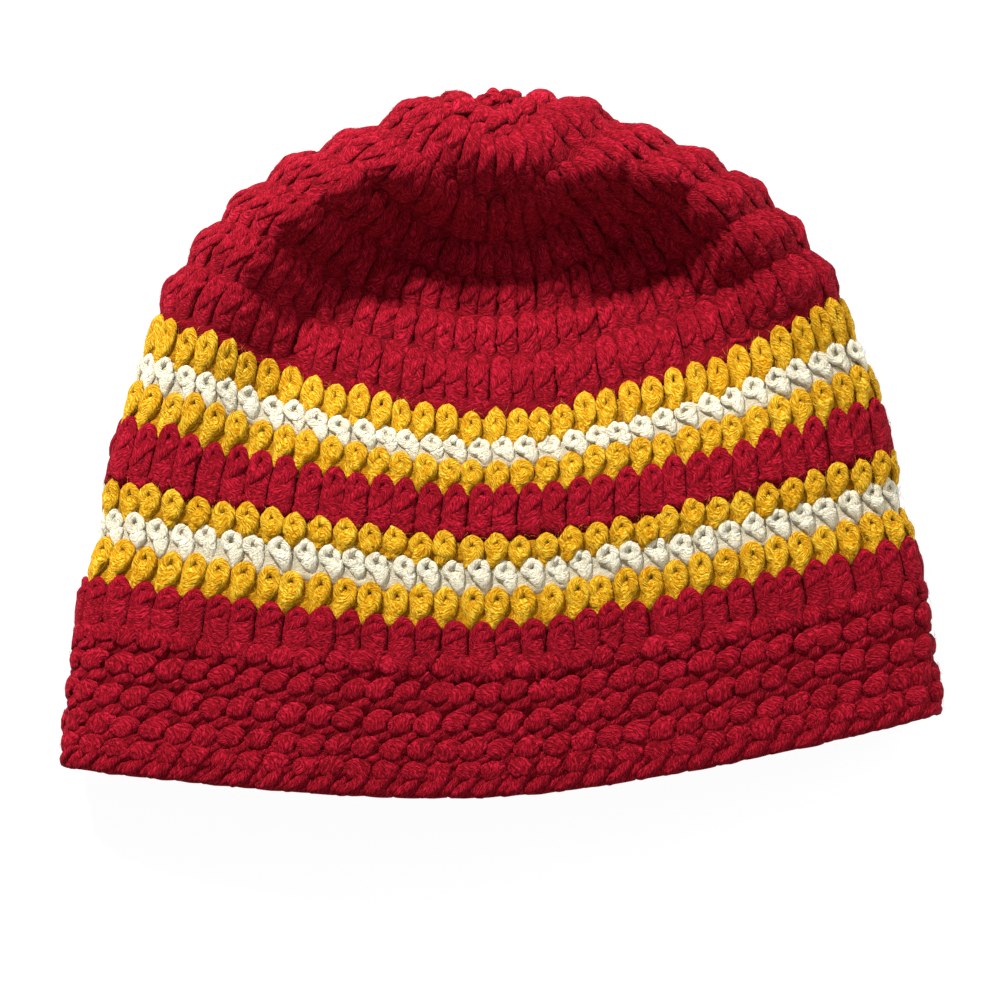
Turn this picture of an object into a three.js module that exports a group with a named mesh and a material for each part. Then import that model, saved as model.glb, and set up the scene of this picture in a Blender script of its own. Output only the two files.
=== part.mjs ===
// Crochet beanie that lies flat on its back, mouth towards -Y, crown towards +Y.
// Millimetres, +Z up from the surface that it lies on, origin under the middle of its box.
// Its fabric is one hollow wall of rounds of stitches. A course is one colour's run of rounds,
// and each course is a closed ring of its own, from one section of the table to another.
import * as THREE from "three";

// Driving sizes
const hatWidth = 250; // across the brim, side fold to side fold
const hatLength = 200; // from the middle of the mouth's front edge to the crown's centre
const ridgeHeight = 50; // from the floor to the top of the crown's front ridge
const dentDepth = 26; // how far the crown's front sinks in behind that ridge
const dentLip = 24; // width over which the dent's sides fall away from the ridge
const wall = 5; // thickness of one crocheted layer
const gap = 0.3; // between one course and the next
const crownRib = 1.6; // how far a tall crown round stands out between its joints
const courseRib = 0.8; // the same for the lower rounds
const edgeRoll = 1.2; // how far the slip-stitched edge stands proud of the brim

// Fineness of the facets
const columns = 70; // facets round a course
const loopSteps = 28; // points in each quarter of a section before it is divided evenly
const frontSquareness = 3; // 2 is an ellipse, and more is a flatter front

// Sections, from the crown's centre to the mouth's edge. Widths are shares of half hatWidth, places
// and sags shares of hatLength, heights shares of ridgeHeight.
//   half: half width                        shift: how far its middle lies to the right
//   side: where its side folds lie, from the mouth's edge     skew: how much higher the right fold lies
//   sag: how far the front's middle hangs below the folds     backSag: the same for the back
//   bend: how the front curves up to its folds, 2 is a parabola and 1 a blunt V
//   top: height of the front's middle       fold: height of the side folds
//   under: height of the back's middle      roll: share of the half width that a fold takes up
//   dent: share of dentDepth pushed in      dentLeft, dentRight: shares of the half width between its lips
const names = [
  "half", "shift", "side", "skew", "sag", "backSag", "bend",
  "top", "fold", "under", "roll", "dent", "dentLeft", "dentRight",
];
const table = {
  centre: [0.012, 0, 0.984, 0, 0.002, 0.001, 1.6, 0.74, 0.73, 0.72, 1, 0, -0.5, 0.5],
  round1: [0.15, -0.014, 0.981, 0, 0.068, 0.002, 1.6, 0.95, 0.66, 0.36, 1, 0.02, -0.6, 0.5],
  round2: [0.286, -0.01, 0.95, 0.003, 0.126, -0.024, 1.6, 1, 0.52, 0.08, 0.9, 0.36, -0.66, 0.6],
  round3: [0.42, -0.01, 0.92, 0.005, 0.147, 0.024, 1.6, 1, 0.44, 0, 0.6, 0.9, -0.76, 0.76],
  round4: [0.54, -0.008, 0.88, 0.008, 0.152, 0.066, 1.6, 0.98, 0.38, 0, 0.4, 1, -0.78, 0.84],
  round5: [0.642, -0.01, 0.827, 0.01, 0.151, 0.096, 1.6, 0.94, 0.34, 0, 0.3, 0.88, -0.82, 0.86],
  round6: [0.724, -0.008, 0.766, 0.012, 0.15, 0.12, 1.55, 0.86, 0.31, 0, 0.24, 0.62, -0.82, 0.88],
  round7: [0.788, -0.004, 0.7, 0.012, 0.155, 0.134, 1.55, 0.78, 0.28, 0, 0.2, 0.38, -0.82, 0.88],
  goldTop1: [0.822, -0.004, 0.638, 0.01, 0.143, 0.13, 1.5, 0.73, 0.27, 0, 0.18, 0.23, -0.82, 0.88],
  white1: [0.841, 0, 0.604, 0.012, 0.137, 0.126, 1.5, 0.71, 0.27, 0, 0.17, 0.17, -0.82, 0.88],
  goldLow1: [0.871, 0.001, 0.548, 0.015, 0.121, 0.118, 1.45, 0.68, 0.26, 0, 0.16, 0.1, -0.82, 0.88],
  redMiddle: [0.9, -0.003, 0.475, 0.02, 0.108, 0.106, 1.4, 0.65, 0.26, 0, 0.15, 0.03, -0.82, 0.88],
  goldTop2: [0.91, -0.003, 0.425, 0.022, 0.103, 0.099, 1.35, 0.63, 0.25, 0, 0.14, 0, -0.82, 0.88],
  white2: [0.919, -0.003, 0.389, 0.024, 0.1, 0.094, 1.3, 0.62, 0.25, 0, 0.14, 0, -0.82, 0.88],
  goldLow2: [0.946, -0.003, 0.338, 0.026, 0.1, 0.088, 1.3, 0.61, 0.25, 0, 0.14, 0, -0.82, 0.88],
  redTall: [0.968, -0.002, 0.276, 0.028, 0.09, 0.078, 1.35, 0.59, 0.24, 0, 0.13, 0, -0.82, 0.88],
  brim: [1, 0, 0.104, 0.036, 0.078, 0.068, 1.5, 0.54, 0.24, 0, 0.13, 0, -0.82, 0.88],
  edge: [1, 0, 0.085, 0.037, 0.08, 0.066, 1.5, 0.53, 0.24, 0, 0.13, 0, -0.82, 0.88],
};
const sections = Object.values(table);
const rowOf = Object.fromEntries(Object.keys(table).map((name, row) => [name, row]));
const blunt = 0.12; // share of the half width over which a section's lowest point is rounded

// The courses: node name, first and last section, yarn, rounds that show as ribs
const courses = [
  { node: "crown", from: "centre", to: "round7", yarn: "red", ribs: 7, rib: crownRib },
  { node: "upper_stripe_gold_top", from: "round7", to: "goldTop1", yarn: "gold", ribs: 1, rib: courseRib },
  { node: "upper_stripe_white", from: "goldTop1", to: "white1", yarn: "white", ribs: 1, rib: courseRib },
  { node: "upper_stripe_gold_bottom", from: "white1", to: "goldLow1", yarn: "gold", ribs: 1, rib: courseRib },
  { node: "middle_band", from: "goldLow1", to: "redMiddle", yarn: "red", ribs: 1, rib: courseRib },
  { node: "lower_stripe_gold_top", from: "redMiddle", to: "goldTop2", yarn: "gold", ribs: 1, rib: courseRib },
  { node: "lower_stripe_white", from: "goldTop2", to: "white2", yarn: "white", ribs: 1, rib: courseRib },
  { node: "lower_stripe_gold_bottom", from: "white2", to: "goldLow2", yarn: "gold", ribs: 1, rib: courseRib },
  { node: "brim_top_round", from: "goldLow2", to: "redTall", yarn: "red", ribs: 1, rib: courseRib },
  { node: "brim_band", from: "redTall", to: "brim", yarn: "red", ribs: 2, rib: courseRib },
  { node: "brim_edge", from: "brim", to: "edge", yarn: "red", ribs: 1, rib: edgeRoll },
];

const yarns = {
  red: new THREE.MeshStandardMaterial({ color: 0xa80a24, roughness: 0.9, metalness: 0 }),
  gold: new THREE.MeshStandardMaterial({ color: 0xf0a80e, roughness: 0.9, metalness: 0 }),
  white: new THREE.MeshStandardMaterial({ color: 0xece4d4, roughness: 0.9, metalness: 0 }),
};

// The slope at a row between two rises, kept from overshooting either of them.
function evenSlope(before, after) {
  if (before * after <= 0) return 0;
  const most = 2 * Math.min(Math.abs(before), Math.abs(after));
  return Math.min(Math.max((before + after) / 2, -most), most);
}

// A smooth value between the rows of the table (a cubic that never overshoots), by column.
function sectionAt(row) {
  const last = sections.length - 1;
  const i = Math.min(Math.floor(row), last - 1);
  const t = row - i;
  const pick = (k) => sections[Math.min(Math.max(k, 0), last)];
  const [a, b, c, d] = [pick(i - 1), pick(i), pick(i + 1), pick(i + 2)];
  const values = b.map((p1, n) => {
    const rise = c[n] - p1;
    const m1 = evenSlope(p1 - a[n], rise);
    const m2 = evenSlope(rise, d[n] - c[n]);
    return p1 + t * (m1 + t * (3 * rise - 2 * m1 - m2 + t * (m1 + m2 - 2 * rise)));
  });
  return Object.fromEntries(names.map((name, n) => [name, values[n]]));
}

// Rises smoothly from 0 to 1 over one unit.
function ease(share) {
  const t = Math.min(Math.max(share, 0), 1);
  return t * t * (3 - 2 * t);
}

// A point of the outer face where the section is s across, from -1 at the left fold to 1 at the right.
function facePoint(section, s, height, isFront) {
  const half = section.half * hatWidth / 2;
  const rise = (across) => (across * across + blunt * blunt) ** (section.bend / 2);
  const hang = 1 - (rise(s) - rise(0)) / (rise(1) - rise(0));
  const sag = isFront ? section.sag : section.backSag;
  const y = (section.side + section.skew * s - sag * hang) * hatLength;
  const push = ease((s - section.dentLeft) * half / dentLip) * ease((section.dentRight - s) * half / dentLip);
  const z = height * ridgeHeight - (isFront ? section.dent * dentDepth * push : 0);
  return new THREE.Vector3(section.shift * hatWidth / 2 + s * half, y - hatLength / 2, z);
}

// The closed outer loop of a section: front from left to right, then back from right to left.
function denseLoop(row) {
  const section = sectionAt(row);
  const points = [];
  for (let i = -loopSteps; i < loopSteps; i++) {
    const angle = (i / loopSteps) * (Math.PI / 2);
    const power = 2 / frontSquareness;
    const s = Math.sign(angle) * Math.abs(Math.sin(angle)) ** power;
    const lift = Math.cos(angle) ** power;
    points.push(facePoint(section, s, section.fold + (section.top - section.fold) * lift, true));
  }
  const quarter = [];
  const under = Math.max(section.under, 0);
  for (let i = 0; i <= loopSteps; i++) {
    const angle = (i / loopSteps) * (Math.PI / 2);
    const s = 1 - section.roll * (1 - Math.cos(angle));
    quarter.push([s, under + (section.fold - under) * (1 - Math.sin(angle))]);
  }
  const flat = Math.max(1 - section.roll, 0);
  for (let i = 1; i < loopSteps; i++) quarter.push([flat * (1 - i / loopSteps), under]);
  for (const [s, height] of quarter) points.push(facePoint(section, s, height, false));
  points.push(facePoint(section, 0, under, false));
  for (const [s, height] of quarter.slice(1).reverse()) {
    points.push(facePoint(section, -s, height, false));
  }
  return points;
}

// The same loop divided evenly into columns, which start at the middle of the front.
function evenLoop(row) {
  const dense = denseLoop(row);
  const start = loopSteps;
  const turned = [...dense.slice(start), ...dense.slice(0, start)];
  const reach = [0];
  turned.forEach((point, i) => {
    reach.push(reach[i] + point.distanceTo(turned[(i + 1) % turned.length]));
  });
  const total = reach[turned.length];
  const loop = [];
  let k = 0;
  for (let column = 0; column < columns; column++) {
    const wanted = (total * column) / columns;
    while (reach[k + 1] < wanted) k++;
    const share = (wanted - reach[k]) / (reach[k + 1] - reach[k]);
    loop.push(turned[k].clone().lerp(turned[(k + 1) % turned.length], share));
  }
  return loop;
}

// A loop of the wall at a row: the outer face moved along its outward normals. The back is pressed
// flat where it lies on the floor.
function wallLoop(row, outward) {
  const step = 0.02;
  const last = sections.length - 1;
  const before = evenLoop(Math.max(row - step, 0));
  const after = evenLoop(Math.min(row + step, last));
  const loop = evenLoop(row);
  return loop.map((point, i) => {
    const round = loop[(i + 1) % columns].clone().sub(loop[(i + columns - 1) % columns]);
    const down = after[i].clone().sub(before[i]);
    const normal = round.cross(down).normalize().negate();
    const moved = point.clone().addScaledVector(normal, outward);
    if (outward >= 0) moved.z = Math.max(moved.z, 0);
    else if (point.z === 0) moved.z = -outward;
    return moved;
  });
}

// Mean length of the fabric between two rows, measured down every column.
function fabricLength(rowA, rowB) {
  const a = evenLoop(rowA);
  const b = evenLoop(rowB);
  return a.reduce((sum, point, i) => sum + point.distanceTo(b[i]), 0) / columns;
}

// A course of the wall as one closed body: loops down its outer face, then back up its inner face.
function courseGeometry({ from, to, ribs, rib }) {
  const first = rowOf[from];
  const last = rowOf[to];
  const isCrown = first === 0;
  const trim = gap / 2 / fabricLength(last - 1, last);
  const start = isCrown ? 0 : first + trim;
  const end = last === sections.length - 1 ? last : last - trim;
  const rowAt = (share) => start + (end - start) * share;
  const loops = [];
  for (let i = 0; i <= 2 * ribs; i++) {
    loops.push(wallLoop(rowAt(i / (2 * ribs)), i % 2 ? rib : 0));
  }
  for (let i = ribs; i >= 0; i--) loops.push(wallLoop(rowAt(i / ribs), -wall));
  const index = [];
  for (let k = 0; k < loops.length - (isCrown ? 1 : 0); k++) {
    const next = (k + 1) % loops.length;
    for (let i = 0; i < columns; i++) {
      const j = (i + 1) % columns;
      const [a, b, c, d] = [k * columns + i, k * columns + j, next * columns + j, next * columns + i];
      index.push(a, d, c, a, c, b);
    }
  }
  const points = loops.flat();
  if (isCrown) {
    const lastLoop = (loops.length - 1) * columns;
    for (const [base, flip] of [[0, false], [lastLoop, true]]) {
      const middle = new THREE.Vector3();
      for (let i = 0; i < columns; i++) middle.add(points[base + i]);
      points.push(middle.divideScalar(columns));
      const centre = points.length - 1;
      for (let i = 0; i < columns; i++) {
        const j = (i + 1) % columns;
        index.push(centre, ...(flip ? [base + j, base + i] : [base + i, base + j]));
      }
    }
  }
  const geometry = new THREE.BufferGeometry().setFromPoints(points);
  geometry.setIndex(index);
  geometry.computeVertexNormals();
  return geometry;
}

const beanie = new THREE.Group();
beanie.name = "crochet_beanie";
for (const course of courses) {
  const mesh = new THREE.Mesh(courseGeometry(course), yarns[course.yarn]);
  mesh.name = course.node;
  beanie.add(mesh);
}

// The box's middle goes over the origin, and the back's underside is the floor.
const box = new THREE.Box3().setFromObject(beanie);
const middle = box.getCenter(new THREE.Vector3());
beanie.position.set(-middle.x, -middle.y, -box.min.z);

export default beanie;
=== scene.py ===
"""The looks of a crochet beanie that lies flat on its back, built from strands of yarn.

Every round of stitches is a set of yarn strands: a stitch's strands are short paths over the fabric,
repeated round the hat and swept into tubes. Lengths are millimetres until a mesh is made, and metres
in the materials, the floor, the lights and the camera.
"""

import math
from typing import NamedTuple

import bpy
import numpy as np
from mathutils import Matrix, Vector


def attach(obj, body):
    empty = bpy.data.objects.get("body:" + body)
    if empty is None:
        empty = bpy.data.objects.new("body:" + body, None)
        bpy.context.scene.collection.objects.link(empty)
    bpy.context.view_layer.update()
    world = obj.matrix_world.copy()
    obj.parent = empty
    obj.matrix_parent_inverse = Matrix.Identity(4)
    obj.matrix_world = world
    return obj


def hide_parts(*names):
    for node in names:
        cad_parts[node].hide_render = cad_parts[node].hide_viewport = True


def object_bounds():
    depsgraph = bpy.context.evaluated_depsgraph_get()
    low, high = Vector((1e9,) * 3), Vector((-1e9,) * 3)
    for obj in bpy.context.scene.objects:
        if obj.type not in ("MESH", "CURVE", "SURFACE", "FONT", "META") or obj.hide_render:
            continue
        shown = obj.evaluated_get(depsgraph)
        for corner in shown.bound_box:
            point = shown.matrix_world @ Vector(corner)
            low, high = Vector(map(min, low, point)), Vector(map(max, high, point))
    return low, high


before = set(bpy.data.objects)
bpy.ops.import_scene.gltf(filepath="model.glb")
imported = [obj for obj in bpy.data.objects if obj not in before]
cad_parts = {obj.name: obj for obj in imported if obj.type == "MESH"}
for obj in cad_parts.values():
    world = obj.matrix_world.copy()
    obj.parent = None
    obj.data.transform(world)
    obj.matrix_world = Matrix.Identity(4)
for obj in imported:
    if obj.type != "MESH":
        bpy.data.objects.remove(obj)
cad_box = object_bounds()

MM = 0.001
SEED = 7

# The hat's own sizes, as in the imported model
HAT_WIDTH = 250.0  # across the brim, side fold to side fold
HAT_LENGTH = 200.0  # mouth's front edge to the crown's centre
RIDGE_HEIGHT = 50.0  # floor to the top of the crown's front ridge
DENT_DEPTH = 26.0  # how far the crown's front sinks in behind the ridge
DENT_LIP = 24.0  # width over which the dent's sides fall away from the ridge
BLUNT = 0.12  # share of the half width over which a section's lowest point is rounded
FRONT_SQUARENESS = 3.0  # 2 is an ellipse, and more is a flatter front

# Sections from the crown's centre to the mouth's edge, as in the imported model. half and shift (the half
# width and its middle) are shares of half HAT_WIDTH. side (the folds' place), skew (how much further up
# the right fold lies) and sag and back_sag (how far the front and the back hang below the folds) are
# shares of HAT_LENGTH, and bend is the power of their curve. top, fold and under (the heights of the
# front, the folds and the back) are shares of RIDGE_HEIGHT. roll is the share of the half width over
# which the back turns up to the fold. dent is a share of DENT_DEPTH, from dent_left to dent_right.
NAMES = [
    "half", "shift", "side", "skew", "sag", "back_sag", "bend",
    "top", "fold", "under", "roll", "dent", "dent_left", "dent_right",
]
TABLE = {
    "centre": [0.012, 0, 0.984, 0, 0.002, 0.001, 1.6, 0.74, 0.73, 0.72, 1, 0, -0.5, 0.5],
    "round1": [0.15, -0.014, 0.981, 0, 0.068, 0.002, 1.6, 0.95, 0.66, 0.36, 1, 0.02, -0.6, 0.5],
    "round2": [0.286, -0.01, 0.95, 0.003, 0.126, -0.024, 1.6, 1, 0.52, 0.08, 0.9, 0.36, -0.66, 0.6],
    "round3": [0.42, -0.01, 0.92, 0.005, 0.147, 0.024, 1.6, 1, 0.44, 0, 0.6, 0.9, -0.76, 0.76],
    "round4": [0.54, -0.008, 0.88, 0.008, 0.152, 0.066, 1.6, 0.98, 0.38, 0, 0.4, 1, -0.78, 0.84],
    "round5": [0.642, -0.01, 0.827, 0.01, 0.151, 0.096, 1.6, 0.94, 0.34, 0, 0.3, 0.88, -0.82, 0.86],
    "round6": [0.724, -0.008, 0.766, 0.012, 0.15, 0.12, 1.55, 0.86, 0.31, 0, 0.24, 0.62, -0.82, 0.88],
    "round7": [0.788, -0.004, 0.7, 0.012, 0.155, 0.134, 1.55, 0.78, 0.28, 0, 0.2, 0.38, -0.82, 0.88],
    "gold_top_1": [0.822, -0.004, 0.638, 0.01, 0.143, 0.13, 1.5, 0.73, 0.27, 0, 0.18, 0.23, -0.82, 0.88],
    "white_1": [0.841, 0, 0.604, 0.012, 0.137, 0.126, 1.5, 0.71, 0.27, 0, 0.17, 0.17, -0.82, 0.88],
    "gold_low_1": [0.871, 0.001, 0.548, 0.015, 0.121, 0.118, 1.45, 0.68, 0.26, 0, 0.16, 0.1, -0.82, 0.88],
    "red_middle": [0.9, -0.003, 0.475, 0.02, 0.108, 0.106, 1.4, 0.65, 0.26, 0, 0.15, 0.03, -0.82, 0.88],
    "gold_top_2": [0.91, -0.003, 0.425, 0.022, 0.103, 0.099, 1.35, 0.63, 0.25, 0, 0.14, 0, -0.82, 0.88],
    "white_2": [0.919, -0.003, 0.389, 0.024, 0.1, 0.094, 1.3, 0.62, 0.25, 0, 0.14, 0, -0.82, 0.88],
    "gold_low_2": [0.946, -0.003, 0.338, 0.026, 0.1, 0.088, 1.3, 0.61, 0.25, 0, 0.14, 0, -0.82, 0.88],
    "red_tall": [0.968, -0.002, 0.276, 0.028, 0.09, 0.078, 1.35, 0.59, 0.24, 0, 0.13, 0, -0.82, 0.88],
    "brim": [1, 0, 0.104, 0.036, 0.078, 0.068, 1.5, 0.54, 0.24, 0, 0.13, 0, -0.82, 0.88],
    "edge": [1, 0, 0.085, 0.037, 0.08, 0.066, 1.5, 0.53, 0.24, 0, 0.13, 0, -0.82, 0.88],
}
SECTIONS = np.array(list(TABLE.values()), float)
ROW = {name: row for row, name in enumerate(TABLE)}
LAST = len(SECTIONS) - 1

# The fabric's grid, on which stitches are placed
ROWS_PER_SECTION = 10
TURN_STEPS = 512
LOOP_STEPS = 72  # in each quarter of a section, before it is divided evenly
STITCH_SPREAD = np.array([1, 1, 0.7])  # stitches are stretched a little where the fabric stands steep


def even_slope(before, after):
    """The slope at a section between two rises, kept from overshooting either of them."""
    most = 2 * np.minimum(np.abs(before), np.abs(after))
    return np.where(before * after > 0, np.clip((before + after) / 2, -most, most), 0)


def section_at(row):
    """The table's columns at a row between sections (a cubic that never overshoots)."""
    i = min(int(row), LAST - 1)
    t = row - i
    a, b, c, d = (SECTIONS[min(max(k, 0), LAST)] for k in (i - 1, i, i + 1, i + 2))
    rise = c - b
    m1 = even_slope(b - a, rise)
    m2 = even_slope(rise, d - c)
    values = b + t * (m1 + t * (3 * rise - 2 * m1 - m2 + t * (m1 + m2 - 2 * rise)))
    return dict(zip(NAMES, values))


def ease(share):
    """Rises smoothly from 0 to 1 over one unit."""
    t = np.clip(share, 0, 1)
    return t * t * (3 - 2 * t)


def face_points(section, s, height, is_front):
    """Points of the outer face at s across, from -1 at the left fold to 1 at the right."""
    def rise(across):
        return (across * across + BLUNT * BLUNT) ** (section["bend"] / 2)

    hang = 1 - (rise(s) - rise(0)) / (rise(1) - rise(0))
    sag = section["sag"] if is_front else section["back_sag"]
    y = (section["side"] + section["skew"] * s - sag * hang) * HAT_LENGTH - HAT_LENGTH / 2
    half = section["half"] * HAT_WIDTH / 2
    from_left = (s - section["dent_left"]) * half / DENT_LIP
    from_right = (section["dent_right"] - s) * half / DENT_LIP
    push = ease(from_left) * ease(from_right)
    z = height * RIDGE_HEIGHT - (section["dent"] * DENT_DEPTH * push if is_front else 0)
    x = section["shift"] * HAT_WIDTH / 2 + s * half
    return np.stack([x, y, z], -1)


def even_loop(row):
    """A section's closed outer loop in TURN_STEPS even steps, from the front's middle to the right."""
    section = section_at(row)
    power = 2 / FRONT_SQUARENESS
    angle = np.linspace(-math.pi / 2, math.pi / 2, 2 * LOOP_STEPS + 1)
    s = np.sign(angle) * np.abs(np.sin(angle)) ** power
    lift = np.abs(np.cos(angle)) ** power
    front = face_points(section, s, section["fold"] + (section["top"] - section["fold"]) * lift, True)
    under = max(section["under"], 0)
    quarter = np.linspace(0, math.pi / 2, LOOP_STEPS + 1)
    flat = max(1 - section["roll"], 0)
    rolled = 1 - section["roll"] * (1 - np.cos(quarter))
    s = np.concatenate([rolled, np.linspace(flat, 0, LOOP_STEPS + 1)[1:]])
    height = under + (section["fold"] - under) * (1 - np.sin(quarter))
    height = np.concatenate([height, np.full(LOOP_STEPS, under)])
    right = face_points(section, s, height, False)
    left = face_points(section, -s, height, False)
    loop = np.concatenate([front[LOOP_STEPS:-1], right[:-1], left[::-1][:-1], front[:LOOP_STEPS + 1]])
    step = np.linalg.norm(np.diff(loop, axis=0) * STITCH_SPREAD, axis=1)
    reach = np.concatenate([[0], np.cumsum(step)])
    wanted = np.linspace(0, reach[-1], TURN_STEPS, endpoint=False)
    return np.stack([np.interp(wanted, reach, loop[:, k]) for k in range(3)], -1), reach[-1]


def build_fabric():
    """The outer face as a grid of points and outward normals, and each row's distance round."""
    count = LAST * ROWS_PER_SECTION + 1
    loops = [even_loop(i / ROWS_PER_SECTION) for i in range(count)]
    points = np.array([loop for loop, length in loops])
    around = np.array([length for loop, length in loops])
    turned = np.roll(points, -1, 1) - np.roll(points, 1, 1)
    down = np.gradient(points, axis=0)
    normals = -np.cross(turned, down)
    normals /= np.linalg.norm(normals, axis=2, keepdims=True) + 1e-9
    low, high = (np.array(corner) / MM for corner in cad_box)
    middle = (low + high) / 2
    shape_middle = (points.reshape(-1, 3).min(0) + points.reshape(-1, 3).max(0)) / 2
    points[..., 0] += middle[0] - shape_middle[0]
    points[..., 1] += middle[1] - shape_middle[1]
    return points, normals, around


FABRIC, NORMALS, AROUND = build_fabric()


def on_fabric(row, turn, out):
    """Places points at a row down the hat, a turn round it and a distance out of its outer face."""
    extra = np.maximum(row - LAST, 0)
    r = np.clip(row, 0, LAST - 1e-6) * ROWS_PER_SECTION
    t = (turn % 1.0) * TURN_STEPS
    i = np.minimum(r.astype(int), len(FABRIC) - 2)
    j = t.astype(int) % TURN_STEPS
    k = (j + 1) % TURN_STEPS
    fr = (r - i)[..., None]
    ft = (t - np.floor(t))[..., None]

    def mix(grid):
        upper = grid[i, j] * (1 - ft) + grid[i, k] * ft
        lower = grid[i + 1, j] * (1 - ft) + grid[i + 1, k] * ft
        return upper * (1 - fr) + lower * fr

    normal = mix(NORMALS)
    normal /= np.linalg.norm(normal, axis=-1, keepdims=True)
    below = FABRIC[-1] - FABRIC[-2]
    past = (below[j] * (1 - ft) + below[k] * ft) * ROWS_PER_SECTION
    return mix(FABRIC) + normal * out[..., None] + past * extra[..., None], normal


# Radii of the stitches' strands, and of the ring that one of them makes
EGG_YARN = 1.5
RING_YARN = 1.35
RING_RADIUS = 1.95
TALL_YARN = 1.45
CROSS_YARN = 1.6
FOOT_YARN = 1.3
KNOB_YARN = 2.85
FILL_YARN = 1.9
EDGE_YARN = 1.7
UNDER_YARN = 1.6
LINING_YARN = 1.3

# The knots of a ring's path, in degrees from the middle of its right side
RING_KNOTS = 11
RING_START = 60
RING_STEP = 37.8


# Stitches. A strand is a path of knots: across in stitch widths, down in round heights, out in mm from
# the fabric's face, then its share of the round's lean and its girth. It is flat times as thick as it
# is wide, has steps points from one knot to the next, and its plies wind (helix) or sag (smile).
def strand(knots, radius, flat=1.0, wind="helix", sides=8, steps=2):
    """A strand's settings. Its knots may end in a lean and a girth, which are 0 and 1 otherwise."""
    full = [tuple(knot) + (0.0, 1.0)[len(knot) - 3:] for knot in knots]
    return {"knots": np.array(full, float), "radius": radius, "flat": flat, "wind": wind,
            "sides": sides, "steps": steps}


def egg_stitch(pitch, height):
    """A half double stitch: an arch round a dimple and a belly that narrows to a pointed foot."""
    lobe = 0.47 - EGG_YARN / pitch
    top = EGG_YARN / height
    arch = [
        (-0.1, 0.95, -2.6, 0.5, 0.6), (-0.6 * lobe, 0.78, -1.6, 0.25, 0.9), (-1.0 * lobe, 0.6, -1.4, 0.05),
        (-1.08 * lobe, 0.4, -1.3), (-0.78 * lobe, top + 0.12, -1.4), (0.0, top + 0.01, -1.5),
        (0.78 * lobe, top + 0.13, -1.5), (1.08 * lobe, 0.42, -1.4), (1.0 * lobe, 0.62, -1.5, 0.05),
        (0.6 * lobe, 0.8, -1.7, 0.25, 0.9), (0.1, 0.97, -2.6, 0.5, 0.6),
    ]
    belly = [
        (0.0, 0.36, -2.7, 0.0, 0.45), (0.0, 0.5, -1.55, 0.0, 0.85), (0.0, 0.66, -1.3, 0.15, 1.0),
        (0.0, 0.81, -1.35, 0.4, 0.92), (0.0, 0.94, -1.5, 0.7, 0.78), (0.0, 1.07, -1.8, 0.95, 0.68),
        (0.0, 1.2, -2.4, 1.0, 0.6), (0.0, 1.32, -3.3, 1.0, 0.4),
    ]
    return [strand(arch, EGG_YARN, 0.85), strand(belly, 0.38 * pitch, 0.55, "smile")]


def ring_stitch(pitch, height):
    """A single stitch that shows as a ring round a dimple, with a nub at its foot."""
    across = RING_RADIUS / pitch
    down = RING_RADIUS / height
    middle = -0.18 + (RING_RADIUS + RING_YARN) / height
    ring = []
    for step in range(RING_KNOTS):
        angle = math.radians(RING_START + RING_STEP * step)
        depth = -1.5 if 0 < step < RING_KNOTS - 1 else -2.4
        ring.append((across * math.cos(angle), middle - down * math.sin(angle), depth))
    nub = [
        (0.05, middle + 0.02, -2.5, 0.2, 0.6), (0.06, middle + 0.24, -1.75, 0.35, 0.95),
        (0.05, middle + 0.5, -1.55, 0.6, 0.9), (0.04, middle + 0.74, -1.7, 0.85, 0.55),
        (0.02, middle + 0.96, -2.8, 1.0, 0.3),
    ]
    return [strand(ring, RING_YARN, 0.72), strand(nub, 0.38 * pitch, 0.48, "smile")]


def tall_stitch(pitch, height):
    """A double stitch: an arch over a dimple, a plump post that a strand crosses, and a low chain."""
    lobe = 0.49 - TALL_YARN / pitch
    top = TALL_YARN / height
    arch = [
        (-lobe, 0.94, -2.8), (-lobe, 0.66, -1.7), (-lobe, 0.32, -1.4), (-0.72 * lobe, top + 0.01, -1.2),
        (0.0, top - 0.09, -1.2), (0.72 * lobe, top + 0.01, -1.2), (lobe, 0.32, -1.4), (lobe, 0.66, -1.7),
        (lobe, 0.94, -2.8),
    ]
    post = [
        (0.0, 0.08, -2.5, 0.0, 0.5), (0.0, 0.27, -1.8, 0.0, 0.85), (0.0, 0.5, -1.8, 0.0, 0.96),
        (0.0, 0.8, -1.6, 0.05, 0.98), (0.0, 1.03, -1.9, 0.2, 0.82), (0.0, 1.17, -2.9, 0.3, 0.65),
    ]
    cross = [
        (-0.45, 0.72, -2.4, 0.0, 0.8), (-0.28, 0.63, -1.2), (0.04, 0.46, -0.75), (0.3, 0.3, -1.1),
        (0.46, 0.16, -2.2, 0.0, 0.8),
    ]
    foot = [
        (-0.56, 0.97, -2.6), (-0.3, 0.95, -1.8), (-0.1, 1.03, -1.6, 0.8), (0.0, 1.16, -1.7, 1.0, 1.1),
        (0.1, 1.03, -1.6, 0.8), (0.3, 0.95, -1.8), (0.56, 0.97, -2.6),
    ]
    return [
        strand(arch, TALL_YARN, 0.85), strand(post, 0.53 * pitch, 0.45, "smile", 10),
        strand(cross, CROSS_YARN, 0.7), strand(foot, FOOT_YARN, sides=6),
    ]


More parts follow.
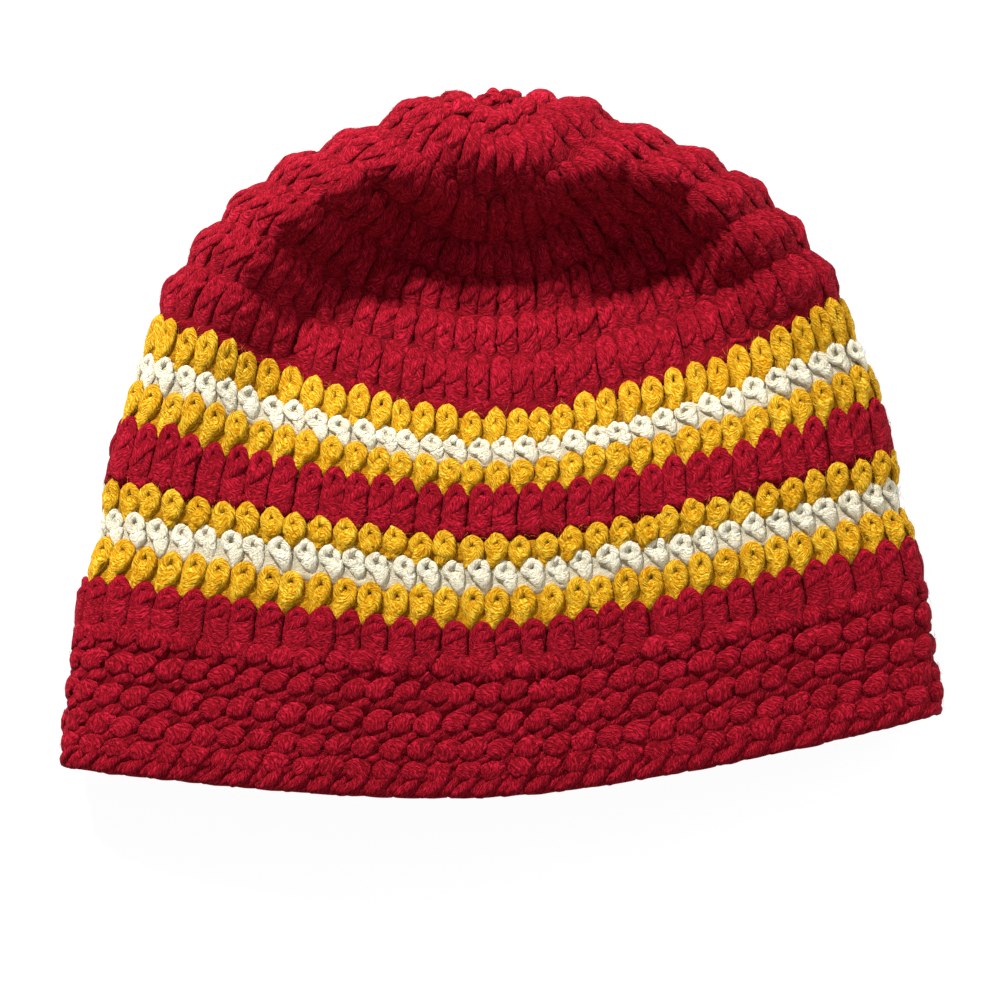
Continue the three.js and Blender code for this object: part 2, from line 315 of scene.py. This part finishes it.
def short_stitch(pitch, height):
    """A single stitch of the brim: a plump leaning knob with a hollow at its lower right."""
    knob = [
        (-0.43, 0.76, -3.0, 0.0, 0.62), (-0.31, 0.6, -1.8, 0.0, 0.96), (-0.1, 0.46, -1.45, 0.0, 1.12),
        (0.13, 0.36, -1.45, 0.0, 1.12), (0.32, 0.33, -1.8, 0.0, 0.98), (0.44, 0.44, -3.0, 0.0, 0.65),
    ]
    fill = [
        (-0.2, 1.0, -2.7, 0.0, 0.8), (0.04, 0.9, -2.1), (0.32, 0.82, -2.05, 0.0, 1.05),
        (0.6, 0.82, -2.7, 0.0, 0.8),
    ]
    return [strand(knob, KNOB_YARN, 0.48, "smile", 10), strand(fill, FILL_YARN, 0.7)]


def slip_stitch(pitch, height):
    """A slip stitch of the edge: a long strand that leans along the mouth, and two rolled under it."""
    down = 1 / height
    lay = [
        (-0.62, 5.0 * down, -3.9, 0.0, 0.8), (-0.44, 4.0 * down, -2.4), (-0.12, 2.4 * down, -1.6),
        (0.22, 0.8 * down, -1.6), (0.48, -0.6 * down, -2.4), (0.62, -1.6 * down, -3.9, 0.0, 0.8),
    ]
    under = [
        (0.0, 4.4 * down, -4.0, 0.0, 0.8), (0.38, 2.6 * down, -2.3), (0.72, 1.0 * down, -2.3),
        (1.0, -0.6 * down, -3.6, 0.0, 0.8),
    ]
    roll = [
        (-0.6, 4.4 * down, -5.2), (-0.35, 5.0 * down, -4.2), (0.0, 5.0 * down, -3.2),
        (0.35, 4.0 * down, -2.8), (0.6, 3.0 * down, -3.4),
    ]
    return [strand(lay, EDGE_YARN, 0.9), strand(under, UNDER_YARN, 0.9), strand(roll, UNDER_YARN)]


def lining_strand():
    """The strand of a stitch that shows on the fabric's inner face."""
    path = [(-0.5, 0.5, -3.3), (-0.25, 0.3, -3.9), (0.05, 0.45, -4.1), (0.3, 0.66, -3.9), (0.5, 0.5, -3.3)]
    return strand(path, LINING_YARN, sides=6)


STITCHES = {
    "egg": egg_stitch, "ring": ring_stitch, "tall": tall_stitch, "short": short_stitch, "slip": slip_stitch,
}


class Round(NamedTuple):
    """A round of stitches. It lies in a share of the span from its first section to its last."""

    name: str
    cad_node: str
    yarn: str
    stitch: str
    first: str
    last: str
    share: tuple
    count: int  # stitches round
    lean: float  # how far a stitch's foot leans, in stitch widths


FULL = 68  # stitches round, below the crown
ROUNDS = [Round(*settings) for settings in (
    ("crown_start", "crown", "red", "short", "centre", "round1", (0, 0.45), 8, 0.1),
    ("crown_round_1", "crown", "red", "short", "centre", "round1", (0.45, 1), 15, 0.1),
    ("crown_round_2", "crown", "red", "tall", "round1", "round2", (0, 1), 30, 0.1),
    ("crown_round_3", "crown", "red", "tall", "round2", "round3", (0, 1), 44, 0.1),
    ("crown_round_4", "crown", "red", "tall", "round3", "round4", (0, 1), 56, 0.1),
    ("crown_round_5", "crown", "red", "tall", "round4", "round5", (0, 1), 66, 0.1),
    ("crown_round_6", "crown", "red", "tall", "round5", "round6", (0, 1), FULL, 0.1),
    ("crown_round_7", "crown", "red", "tall", "round6", "round7", (0, 1), FULL, 0.2),
    ("stripe_1_gold_top", "upper_stripe_gold_top", "gold", "egg", "round7", "gold_top_1",
     (0, 1), FULL, -0.15),
    ("stripe_1_white", "upper_stripe_white", "white", "ring", "gold_top_1", "white_1",
     (0, 1), FULL, 0.25),
    ("stripe_1_gold_low", "upper_stripe_gold_bottom", "gold", "egg", "white_1", "gold_low_1",
     (0, 1), FULL, -0.25),
    ("middle_round", "middle_band", "red", "tall", "gold_low_1", "red_middle", (0, 1), FULL, 0.25),
    ("stripe_2_gold_top", "lower_stripe_gold_top", "gold", "egg", "red_middle", "gold_top_2",
     (0, 1), FULL, -0.15),
    ("stripe_2_white", "lower_stripe_white", "white", "ring", "gold_top_2", "white_2",
     (0, 1), FULL, 0.25),
    ("stripe_2_gold_low", "lower_stripe_gold_bottom", "gold", "egg", "white_2", "gold_low_2",
     (0, 1), FULL, -0.2),
    ("brim_tall_round", "brim_top_round", "red", "tall", "gold_low_2", "red_tall", (0, 1), FULL, 0.1),
    ("brim_round_1", "brim_band", "red", "short", "red_tall", "brim", (0, 0.2), FULL, 0.23),
    ("brim_round_2", "brim_band", "red", "short", "red_tall", "brim", (0.2, 0.4), FULL, 0.23),
    ("brim_round_3", "brim_band", "red", "short", "red_tall", "brim", (0.4, 0.6), FULL, 0.23),
    ("brim_round_4", "brim_band", "red", "short", "red_tall", "brim", (0.6, 0.8), FULL, 0.23),
    ("brim_round_5", "brim_band", "red", "short", "red_tall", "brim", (0.8, 1), FULL, 0.23),
    ("edge_round", "brim_edge", "red", "slip", "brim", "edge", (0, 1), FULL, 0.0),
)]

# How stitches lie, and how their strands differ
STITCH_JITTER = np.array([0.045, 0.045, 0.2])  # of a stitch: across, down and out
KNOT_JITTER = np.array([0.014, 0.016, 0.1, 0, 0.05])  # of a knot: across, down, out, lean and girth
GIRTH_JITTER = 0.04
STAGGER = 0.5  # a round's stitches stand between those of the round above
CROWN_BULGE = 2.3  # mm by which a crown round's middle stands out over its joints
BULGE_SINK = 0.6  # share of it by which the joints lie under the fabric's face
FAR_REACH = 0.19  # turns, either way from the back's middle, over which the strands are coarse
FAR_SIDES = 6
TAPER_RATE = 10  # a strand thins over the first and last tenth of its length
END_GIRTH = 0.55

# Plies
PLIES = 8  # in one turn round a strand
PLY_SPACING = 1.0  # mm along the strand from one ply to the next
SMILE = 2.0  # how far a post's plies sag, in plies
POST_SLANT = 2.0  # how far they lean at most, in plies

# The core inside the wall
CORE_PAINTED_SHADE = -1.0  # painted shade: the core, which shows only in the gaps between strands, is made darker than them
CORE_OUTER = -1.75  # mm from the fabric's face to the core's two faces
CORE_INNER = -3.1
CORE_COLUMNS = 128
CORE_ROWS = 4  # in a section
CORE_FIBRES = 2.0  # mm round a strand that one row of the core's faces stands for
CORE_SLANT = 3  # plies that the core's marks lean in each of these mm
CORE_DROP = {  # share of a round, by its stitch, down to which the core above it reaches
    "egg": 0.32, "ring": 0.02, "tall": 0.32, "short": 0.32, "slip": 0.32,
}

# Loose fibres. Each starts in the round, and has two steps that rise out of it or fall back.
FIBRE_RADIUS = 0.045
FIBRE = {"radius": FIBRE_RADIUS, "sides": 3, "flat": 1.0, "wind": "helix"}
FIBRE_GIRTHS = np.array([1.0, 0.8, 0.3])
FUZZ_FRONT = 0.22  # fibres for each square millimetre of the side that shows
FUZZ_BACK = 0.04
FUZZ_DOWN = (0.15, 0.75)  # where they start, in round heights
FUZZ_OUT = (-0.9, -0.4)  # and in mm from the fabric's face
FUZZ_STEP = (0.7, 1.7)  # mm
FUZZ_CURL = 0.7  # radians between the steps
FUZZ_RISE = (0.3, 0.8)  # mm
FUZZ_TIP_RISE = (-0.4, 0.6)
# painted highlight: loose fibres are made lighter than the yarn they stand out of
FUZZ_PAINTED_HIGHLIGHT = 3.2


class MeshParts:
    """Collects vertices, faces and their marks, and makes one mesh of them."""

    def __init__(self):
        self.points = []
        self.quads = []
        self.caps = []
        self.uvs = []
        self.tones_and_painted_light = []
        self.faces = []  # the fabric's direction at each point
        self.count = 0

    def add(self, points, quads, uvs, tones_and_painted_light, faces):
        self.points.append(points)
        self.quads.append(quads + self.count)
        self.uvs.append(uvs)
        self.tones_and_painted_light.append(tones_and_painted_light)
        self.faces.append(faces)
        self.count += len(points)

    def add_caps(self, caps, sides):
        self.caps.append((caps, sides))

    def make(self, name, material):
        points = np.concatenate(self.points) * MM
        points[:, 2] = np.maximum(points[:, 2], 0)  # the yarn is pressed flat where it lies
        quads = np.concatenate(self.quads)
        loops = [quads.ravel()]
        starts = [np.arange(len(quads)) * 4]
        uvs = [np.concatenate(self.uvs).reshape(-1, 2)]
        end = len(quads) * 4
        for caps, sides in self.caps:
            loops.append(caps.ravel())
            starts.append(end + np.arange(len(caps)) * sides)
            uvs.append(np.zeros((caps.size, 2)))
            end += caps.size
        loops = np.concatenate(loops)
        starts = np.concatenate(starts)
        mesh = bpy.data.meshes.new(name)
        mesh.vertices.add(len(points))
        mesh.vertices.foreach_set("co", points.astype(np.float32).ravel())
        mesh.loops.add(len(loops))
        mesh.loops.foreach_set("vertex_index", loops.astype(np.int32))
        mesh.polygons.add(len(starts))
        mesh.polygons.foreach_set("loop_start", starts.astype(np.int32))
        mesh.polygons.foreach_set("use_smooth", np.ones(len(starts), bool))
        layer = mesh.uv_layers.new(name="yarn")
        layer.data.foreach_set("uv", np.concatenate(uvs).astype(np.float32).ravel())
        tone_and_painted_light = mesh.attributes.new("tone_and_painted_light", "FLOAT", "POINT")
        tone_and_painted_light.data.foreach_set("value", np.concatenate(self.tones_and_painted_light).astype(np.float32))
        face = mesh.attributes.new("face", "FLOAT_VECTOR", "POINT")
        face.data.foreach_set("vector", np.concatenate(self.faces).astype(np.float32).ravel())
        mesh.update(calc_edges=True)
        mesh.validate()
        mesh.materials.append(material)
        piece = bpy.data.objects.new(name, mesh)
        bpy.context.scene.collection.objects.link(piece)
        return piece


def smooth_path(knots, steps):
    """Catmull-Rom points through knots (n, k, d), with steps points for each span."""
    ends = np.concatenate([2 * knots[:, :1] - knots[:, 1:2], knots, 2 * knots[:, -1:] - knots[:, -2:-1]], 1)
    a, b, c, d = ends[:, :-3], ends[:, 1:-2], ends[:, 2:-1], ends[:, 3:]
    t = (np.arange(steps) / steps)[None, None, :, None]
    a, b, c, d = (v[:, :, None, :] for v in (a, b, c, d))
    path = b + 0.5 * t * ((c - a) + t * ((2 * a - 5 * b + 4 * c - d) + t * (3 * b - a - 3 * c + d)))
    path = path.reshape(len(knots), -1, knots.shape[2])
    return np.concatenate([path, knots[:, -1:]], 1)


def directions_out(tangent, normal, follows_fabric):
    """A direction square to the path at each of its points. It starts out of the fabric."""
    out = np.empty_like(tangent)
    current = normal[:, 0]
    for k in range(tangent.shape[1]):
        if follows_fabric:
            current = normal[:, k]
        current = current - (current * tangent[:, k]).sum(1, keepdims=True) * tangent[:, k]
        current = current / (np.linalg.norm(current, axis=1, keepdims=True) + 1e-9)
        out[:, k] = current
    return out


def ply_marks(path, turn, made, slant):
    """Marks of a tube's points: the ply that they lie on, and how many mm round the tube they lie."""
    spans = np.linalg.norm(np.diff(path, axis=1), axis=2)
    length = np.concatenate([np.zeros((len(path), 1)), np.cumsum(spans, 1)], 1)
    if made["wind"] == "smile":
        front = (turn - 0.5) * 2 * math.pi
        wind = SMILE * (1 - np.cos(front)) + slant * np.sin(front)
    else:
        wind = PLIES * turn
    ply = length[:, :, None] / PLY_SPACING + wind
    around = np.broadcast_to(turn * made["radius"] * 2 * math.pi, ply.shape)
    return np.stack([ply, around], -1)


def sweep(parts, path, normal, girth, made, tones_and_painted_light, slant=0.0):
    """Adds closed tubes of yarn along paths (n, steps, 3), marked with where their plies lie."""
    n, steps, _ = path.shape
    sides = made["sides"]
    tangent = np.gradient(path, axis=1)
    tangent /= np.linalg.norm(tangent, axis=2, keepdims=True) + 1e-9
    out = directions_out(tangent, normal, made["wind"] == "smile")
    across = np.cross(tangent, out)
    place = np.linspace(0, 1, steps)
    ends = np.clip(np.minimum(place, 1 - place) * TAPER_RATE, 0, 1)
    taper = END_GIRTH + (1 - END_GIRTH) * ends ** 0.5
    size = (girth * taper)[:, :, None, None]
    turn = np.arange(sides + 1) / sides
    angle = (turn[:-1, None] - 0.5) * 2 * math.pi  # a strand's marks meet at its back
    ring = np.cos(angle) * made["flat"] * out[:, :, None] + np.sin(angle) * across[:, :, None]
    points = path[:, :, None] + size * ring
    marks = ply_marks(path, turn, made, slant)
    base = (np.arange(n) * steps * sides)[:, None, None]
    k = np.arange(steps - 1)[None, :, None] * sides
    s = np.arange(sides)[None, None, :]
    nxt = (s + 1) % sides
    quads = np.stack([base + k + s, base + k + nxt, base + k + sides + nxt, base + k + sides + s], -1)
    uvs = np.stack([marks[:, :-1, :-1], marks[:, :-1, 1:], marks[:, 1:, 1:], marks[:, 1:, :-1]], 3)
    first = (base[:, 0] + np.arange(sides)[None, ::-1]) + parts.count
    last = (base[:, 0] + (steps - 1) * sides + np.arange(sides)[None]) + parts.count
    parts.add_caps(np.concatenate([first, last]), sides)
    # each strand's own random tone, or the core's painted shade and the fuzz's painted highlight
    tone_and_painted_light = np.broadcast_to(tones_and_painted_light[:, None, None], (n, steps, sides)).ravel()
    face = np.broadcast_to(normal[:, :, None], points.shape).reshape(-1, 3)
    parts.add(points.reshape(-1, 3), quads.reshape(-1, 4), uvs.reshape(-1, 2), tone_and_painted_light, face)


class Lie(NamedTuple):
    """How a round lies on the fabric."""

    top: float  # the rows between which it lies
    bottom: float
    count: int  # stitches round
    phase: float  # where its first stitch stands, in stitches
    lean: float  # how far a stitch's foot leans, in stitch widths
    bulge: float  # mm by which its middle stands out over its joints

    def place(self, across, down, out):
        """Points and normals at places in stitch widths, round heights and mm."""
        swell = self.bulge * (np.sin(math.pi * np.clip(down, 0, 1)) - BULGE_SINK)
        return on_fabric(self.top + (self.bottom - self.top) * down, across / self.count, out + swell)

    def stitch_size(self):
        """A stitch's width and height, in mm."""
        middle = min(int((self.top + self.bottom) / 2 * ROWS_PER_SECTION), len(AROUND) - 1)
        turn = np.arange(TURN_STEPS) / TURN_STEPS
        upper = on_fabric(np.full(TURN_STEPS, self.top), turn, np.zeros(TURN_STEPS))[0]
        lower = on_fabric(np.full(TURN_STEPS, self.bottom), turn, np.zeros(TURN_STEPS))[0]
        return AROUND[middle] / self.count, np.linalg.norm(upper - lower, axis=1).mean()


def is_far(turn):
    """Whether a place round the hat lies on the side that faces the floor."""
    return np.abs(turn % 1.0 - 0.5) < FAR_REACH


def add_strands(parts, rng, made, lie, index, shift):
    """Sweeps one strand of each stitch in index."""
    knots = np.repeat(made["knots"][None], len(index), 0)
    path = smooth_path(knots + rng.normal(0, 1, knots.shape) * KNOT_JITTER, made["steps"])
    across = path[..., 0] + path[..., 3] * lie.lean + shift[index, 0, None]
    down = path[..., 1] + shift[index, 1, None]
    out = path[..., 2] + shift[index, 2, None]
    points, normals = lie.place(lie.phase + index[:, None] + across, down, out)
    girth = made["radius"] * path[..., 4] * (1 + rng.normal(0, GIRTH_JITTER, len(index)))[:, None]
    slant = rng.uniform(-POST_SLANT, POST_SLANT, (len(index), 1, 1))
    sweep(parts, points, normals, girth, made, rng.uniform(0, 1, len(index)), slant)


def add_round(parts, rng, stitch, lie):
    """Adds one round of stitches. The side towards the floor gets coarser strands."""
    index = np.arange(lie.count)
    shift = rng.normal(0, 1, (lie.count, 3)) * STITCH_JITTER
    far = is_far((lie.phase + index) / lie.count)
    for made in STITCHES[stitch](*lie.stitch_size()) + [lining_strand()]:
        coarse = made if made["sides"] == FAR_SIDES else {**made, "sides": FAR_SIDES, "steps": 1}
        for group, settings in ((index[~far], made), (index[far], coarse)):
            if len(group) > 0:
                add_strands(parts, rng, settings, lie, group, shift)


def add_fuzz(parts, rng, lie):
    """Adds loose fibres that stand a little out of the yarn."""
    pitch, height = lie.stitch_size()
    area = pitch * height * lie.count
    for density, far in ((FUZZ_FRONT, False), (FUZZ_BACK, True)):
        turn = rng.uniform(0, 1, int(area * density))
        turn = turn[is_far(turn) == far]
        number = len(turn)
        heading = rng.uniform(0, 2 * math.pi, number)
        curl = heading + rng.normal(0, FUZZ_CURL, number)
        reach = rng.uniform(*FUZZ_STEP, number)
        down = rng.uniform(*FUZZ_DOWN, number)
        knots = [np.stack([turn * lie.count, down, rng.uniform(*FUZZ_OUT, number)], -1)]
        for way, rise in ((heading, FUZZ_RISE), (curl, FUZZ_TIP_RISE)):
            step = [np.cos(way) * reach / pitch, np.sin(way) * reach / height, rng.uniform(*rise, number)]
            knots.append(knots[-1] + np.stack(step, -1))
        points, normals = lie.place(*np.moveaxis(np.stack(knots, 1), -1, 0))
        girth = np.broadcast_to(FIBRE_GIRTHS * FIBRE_RADIUS, (number, len(FIBRE_GIRTHS)))
        # the fibres' tone paints a highlight on them, lighter than their yarn
        sweep(parts, points, normals, girth, FIBRE, FUZZ_PAINTED_HIGHLIGHT + rng.uniform(0, 1, number))


def add_core(parts, top, bottom):
    """Adds the closed layer of yarn inside the wall, which keeps light from passing between strands."""
    rows = np.linspace(top, bottom, max(2, round((bottom - top) * CORE_ROWS) + 1))
    columns = CORE_COLUMNS
    turn = np.arange(columns) / columns
    loops = [on_fabric(np.full(columns, row), turn, np.full(columns, CORE_OUTER)) for row in rows]
    for row in rows[::-1]:
        points, normals = on_fabric(np.full(columns, row), turn, np.full(columns, CORE_INNER))
        loops.append((points, -normals))
    points = np.array([points for points, normals in loops])
    faces = np.array([normals for points, normals in loops]).reshape(-1, 3)
    count = len(loops)
    k = np.arange(count)[:, None]
    s = np.arange(columns)[None]
    after = ((k + 1) % count) * columns
    nxt = (s + 1) % columns
    quads = np.stack([k * columns + s, after + s, after + nxt, k * columns + nxt], -1).reshape(-1, 4)
    width = AROUND[int(top * ROWS_PER_SECTION)] / columns
    across = np.arange(columns + 1)[None] * np.full((count + 1, 1), width)
    down = np.broadcast_to(np.arange(count + 1)[:, None] * CORE_FIBRES, across.shape)
    marks = np.stack([across / PLY_SPACING + CORE_SLANT * down, down], -1)
    uvs = np.stack([marks[:-1, :-1], marks[1:, :-1], marks[1:, 1:], marks[:-1, 1:]], 2)
    # the core's tone paints shade into the gaps between strands, where it shows
    parts.add(points.reshape(-1, 3), quads, uvs.reshape(-1, 2), np.full(len(faces), CORE_PAINTED_SHADE), faces)


# The yarn's material
FUZZ_BLUR = 0.6  # how far fuzz turns a strand's shading to the fabric's
WANDER = 1.4  # how far a noise moves the plies, in plies
WANDER_SCALE = 480.0  # its waves in a metre
CREST_SHARPNESS = 1.3  # a higher power makes the plies narrower
FIBRES_ALONG = 2.7  # scale of the fibres' noise for one ply, and for one mm round the strand
FIBRES_ROUND = 0.8
FIBRES_SEED = 50.0  # how far apart strands of different tones lie in the noise
STREAK_GAIN = 4.6  # makes the fibres' noise fill the range from light to dark
STREAK_OFFSET = -1.8
STREAK_HEIGHT = 0.8  # shares of the bump's height
CREST_HEIGHT = 0.35
BUMP_STRENGTH = 0.7
BUMP_HEIGHT = 0.00025
# The crests paint the plies lighter on top and darker between them (painted highlight and painted shade).
# The streaks are partly the fibres' own grain and partly painted highlight on them.
STREAK_GRAIN_AND_HIGHLIGHT = 0.62  # shares of the ramp's input, from dark to light
CREST_HIGHLIGHT_AND_SHADE = 0.14
TONE_SHADE = 0.13
LEAST_SHADE = 0.05


def node(tree, kind, **settings):
    """Adds a node of a kind with these settings."""
    made = tree.nodes.new(kind)
    for key, value in settings.items():
        setattr(made, key, value)
    return made


def math_node(tree, operation, a, b=None, c=None):
    """Adds a Math node, whose inputs are numbers or other nodes' outputs, and gives its output."""
    made = node(tree, "ShaderNodeMath", operation=operation)
    for socket, value in zip(made.inputs, (a, b, c)):
        if value is None:
            continue
        if isinstance(value, (int, float)):
            socket.default_value = value
        else:
            tree.links.new(value, socket)
    return made.outputs[0]


def soft_normal(tree):
    """The surface's direction, turned part of the way to the fabric's: fuzz blurs a strand's shading."""
    own = node(tree, "ShaderNodeNewGeometry").outputs["Normal"]
    face = node(tree, "ShaderNodeAttribute", attribute_name="face").outputs["Vector"]
    turned = node(tree, "ShaderNodeVectorTransform", vector_type="NORMAL",
                  convert_from="OBJECT", convert_to="WORLD")
    tree.links.new(face, turned.inputs[0])
    mixed = node(tree, "ShaderNodeMix", data_type="VECTOR")
    mixed.inputs[0].default_value = FUZZ_BLUR
    tree.links.new(own, mixed.inputs[4])
    tree.links.new(turned.outputs[0], mixed.inputs[5])
    unit = node(tree, "ShaderNodeVectorMath", operation="NORMALIZE")
    tree.links.new(mixed.outputs[1], unit.inputs[0])
    return unit.outputs[0]


def yarn_material(name, dark, middle, light):
    """Plied, slightly fuzzy acrylic: rounded plies that wind round the strand, with fine fibres. Its colour
    is painted lighter on the plies' crests and darker between them, and its fibre streaks are partly grain
    and partly painted highlight.
    """
    material = bpy.data.materials.new(name)
    material.use_nodes = True
    tree = material.node_tree
    tree.nodes.clear()
    uv = node(tree, "ShaderNodeUVMap", uv_map="yarn")
    split = node(tree, "ShaderNodeSeparateXYZ")
    tree.links.new(uv.outputs[0], split.inputs[0])
    place = node(tree, "ShaderNodeTexCoord").outputs["Object"]
    wander = node(tree, "ShaderNodeTexNoise", noise_dimensions="3D")
    wander.inputs["Scale"].default_value = WANDER_SCALE
    wander.inputs["Detail"].default_value = 1.0
    tree.links.new(place, wander.inputs["Vector"])
    drift = math_node(tree, "MULTIPLY_ADD", wander.outputs["Fac"], WANDER, split.outputs[0])
    wave = math_node(tree, "COSINE", math_node(tree, "MULTIPLY", drift, 2 * math.pi))
    above_zero = math_node(tree, "MULTIPLY_ADD", wave, 0.499, 0.5)
    crest = math_node(tree, "POWER", above_zero, CREST_SHARPNESS)

    # Fine fibres run along each ply
    fibre_at = node(tree, "ShaderNodeCombineXYZ")
    tree.links.new(math_node(tree, "MULTIPLY", drift, FIBRES_ALONG), fibre_at.inputs[0])
    tree.links.new(math_node(tree, "MULTIPLY", split.outputs[1], FIBRES_ROUND), fibre_at.inputs[1])
    tone_and_painted_light = node(tree, "ShaderNodeAttribute", attribute_name="tone_and_painted_light").outputs["Fac"]
    tree.links.new(math_node(tree, "MULTIPLY", tone_and_painted_light, FIBRES_SEED), fibre_at.inputs[2])
    fibre = node(tree, "ShaderNodeTexNoise", noise_dimensions="3D")
    fibre.inputs["Scale"].default_value = 1.0
    fibre.inputs["Detail"].default_value = 2.0
    fibre.inputs["Roughness"].default_value = 0.6
    tree.links.new(fibre_at.outputs[0], fibre.inputs["Vector"])

    streak = math_node(tree, "MULTIPLY_ADD", fibre.outputs["Fac"], STREAK_GAIN, STREAK_OFFSET)
    crest_height = math_node(tree, "MULTIPLY", crest, CREST_HEIGHT)
    height = math_node(tree, "MULTIPLY_ADD", streak, STREAK_HEIGHT, crest_height)
    bump = node(tree, "ShaderNodeBump")
    bump.inputs["Strength"].default_value = BUMP_STRENGTH
    bump.inputs["Distance"].default_value = BUMP_HEIGHT
    tree.links.new(height, bump.inputs["Height"])
    tree.links.new(soft_normal(tree), bump.inputs["Normal"])

    # painted light in the colour: crests lighter and hollows between plies darker, streaks partly painted
    # highlight, the core darker as painted shade and the fuzz lighter as painted highlight
    shade = math_node(tree, "MULTIPLY_ADD", streak, STREAK_GRAIN_AND_HIGHLIGHT, LEAST_SHADE)
    shade = math_node(tree, "MULTIPLY_ADD", crest, CREST_HIGHLIGHT_AND_SHADE, shade)
    shade = math_node(tree, "MULTIPLY_ADD", tone_and_painted_light, TONE_SHADE, shade)
    ramp = node(tree, "ShaderNodeValToRGB")
    stops = ramp.color_ramp.elements
    stops[0].position = 0.05
    stops[0].color = (*dark, 1)
    stops[1].position = 1.0
    stops[1].color = (*light, 1)
    centre = stops.new(0.5)
    centre.color = (*middle, 1)
    tree.links.new(shade, ramp.inputs[0])

    shader = node(tree, "ShaderNodeBsdfPrincipled")
    shader.inputs["Roughness"].default_value = 0.85
    shader.inputs["Specular IOR Level"].default_value = 0.12
    shader.inputs["Sheen Weight"].default_value = 0.1
    shader.inputs["Sheen Roughness"].default_value = 0.6
    shader.inputs["Sheen Tint"].default_value = (*light, 1)
    tree.links.new(ramp.outputs[0], shader.inputs["Base Color"])
    tree.links.new(bump.outputs[0], shader.inputs["Normal"])
    output = node(tree, "ShaderNodeOutputMaterial")
    tree.links.new(shader.outputs[0], output.inputs[0])
    return material


# the dark stop also paints shade between plies and on the core, and the light stop the painted highlight on
# crests, streaks and fuzz
YARNS = {
    "red": yarn_material("red_yarn", (0.12, 0.0, 0.004), (0.3, 0.001, 0.009), (0.62, 0.012, 0.045)),
    "gold": yarn_material("gold_yarn", (0.44, 0.15, 0.0), (0.77, 0.36, 0.002), (1.0, 0.74, 0.07)),
    "white": yarn_material("white_yarn", (0.66, 0.55, 0.35), (0.97, 0.9, 0.67), (1.0, 0.98, 0.85)),
}


def round_span(made):
    """The rows between which a round lies."""
    length = ROW[made.last] - ROW[made.first]
    return tuple(ROW[made.first] + length * share for share in made.share)


def build_hat():
    """Makes every round as a piece that stands for its node."""
    rng = np.random.default_rng(SEED)
    spans = [round_span(made) for made in ROUNDS]
    edges = [top + CORE_DROP[made.stitch] * (bottom - top) for made, (top, bottom) in zip(ROUNDS, spans)]
    edges = [0.0] + edges[1:] + [LAST]
    phase = 0.0
    previous = FULL
    for made, span, core in zip(ROUNDS, spans, zip(edges, edges[1:])):
        name, cad_node, yarn, stitch, *_, count, lean = made
        phase = phase / previous * count
        lie = Lie(*span, count, phase, lean, CROWN_BULGE if cad_node == "crown" else 0.0)
        parts = MeshParts()
        add_core(parts, *core)
        add_round(parts, rng, stitch, lie)
        add_fuzz(parts, rng, lie)
        phase = phase + lean + STAGGER
        previous = count
        piece = parts.make(name, YARNS[yarn])
        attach(piece, "root")
        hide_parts(cad_node)


FLOOR_REACH = 1.5
FLOOR_DROP = 0.0006  # the floor lies just under the hat
FLOOR_GREY = 0.15
FLOOR_GLOW = 0.94
SKY_STRENGTH = 0.12

# Lamps that point at the hat: name, place, size and power in watts
LAMPS = [
    ("key", (-0.46, 0.92, 0.71), 0.16, 25.5),
    ("front_fill", (-0.4, -0.95, 0.8), 1.0, 3.4),
    ("side_fill", (0.95, 0.6, 0.62), 0.7, 7.5),
]


def build_stage():
    """A plain pale floor."""
    mesh = bpy.data.meshes.new("floor")
    corners = [(x * FLOOR_REACH, y * FLOOR_REACH, 0) for x, y in ((-1, -1), (1, -1), (1, 1), (-1, 1))]
    mesh.from_pydata(corners, [], [(0, 1, 2, 3)])
    floor = bpy.data.objects.new("floor", mesh)
    bpy.context.scene.collection.objects.link(floor)
    floor.location.z = -FLOOR_DROP
    material = bpy.data.materials.new("floor_paper")
    material.use_nodes = True
    shader = material.node_tree.nodes["Principled BSDF"]
    shader.inputs["Base Color"].default_value = (FLOOR_GREY, FLOOR_GREY, FLOOR_GREY, 1)
    shader.inputs["Roughness"].default_value = 0.9
    shader.inputs["Emission Color"].default_value = (1, 1, 1, 1)
    shader.inputs["Emission Strength"].default_value = FLOOR_GLOW
    mesh.materials.append(material)


def build_light():
    """A key from the upper left, weak broad fills from the front and the right, and a pale sky."""
    for name, place, size, power in LAMPS:
        light = bpy.data.lights.new(name, "AREA")
        light.size = size
        light.energy = power
        lamp = bpy.data.objects.new(name, light)
        lamp.location = place
        bpy.context.scene.collection.objects.link(lamp)
        direction = -lamp.location
        lamp.rotation_euler = direction.to_track_quat("-Z", "Y").to_euler()
    world = bpy.data.worlds.new("sky")
    world.use_nodes = True
    background = world.node_tree.nodes["Background"]
    background.inputs["Color"].default_value = (1, 1, 1, 1)
    background.inputs["Strength"].default_value = SKY_STRENGTH
    bpy.context.scene.world = world


# The photograph's view: its middle falls on this point of the hat, and its frame is this wide there
VIEW_ELEVATION = math.radians(84)
VIEW_DISTANCE = 0.9
VIEW_POINT = (-0.00045, -0.01464, 0.012)
VIEW_WIDTH = 0.285


def build_camera():
    """A camera at the photograph's angle, from nearly straight above the hat's front."""
    data = bpy.data.cameras.new("camera")
    data.sensor_width = 36.0  # mm
    data.lens = data.sensor_width * VIEW_DISTANCE / VIEW_WIDTH
    camera = bpy.data.objects.new("camera", data)
    x, y, z = VIEW_POINT
    back = math.cos(VIEW_ELEVATION) * VIEW_DISTANCE
    camera.location = (x, y - back, z + math.sin(VIEW_ELEVATION) * VIEW_DISTANCE)
    camera.rotation_euler = (math.pi / 2 - VIEW_ELEVATION, 0, 0)
    bpy.context.scene.collection.objects.link(camera)
    bpy.context.scene.camera = camera
    bpy.context.scene.view_settings.view_transform = "Standard"


build_camera()
build_light()
build_stage()
build_hat()
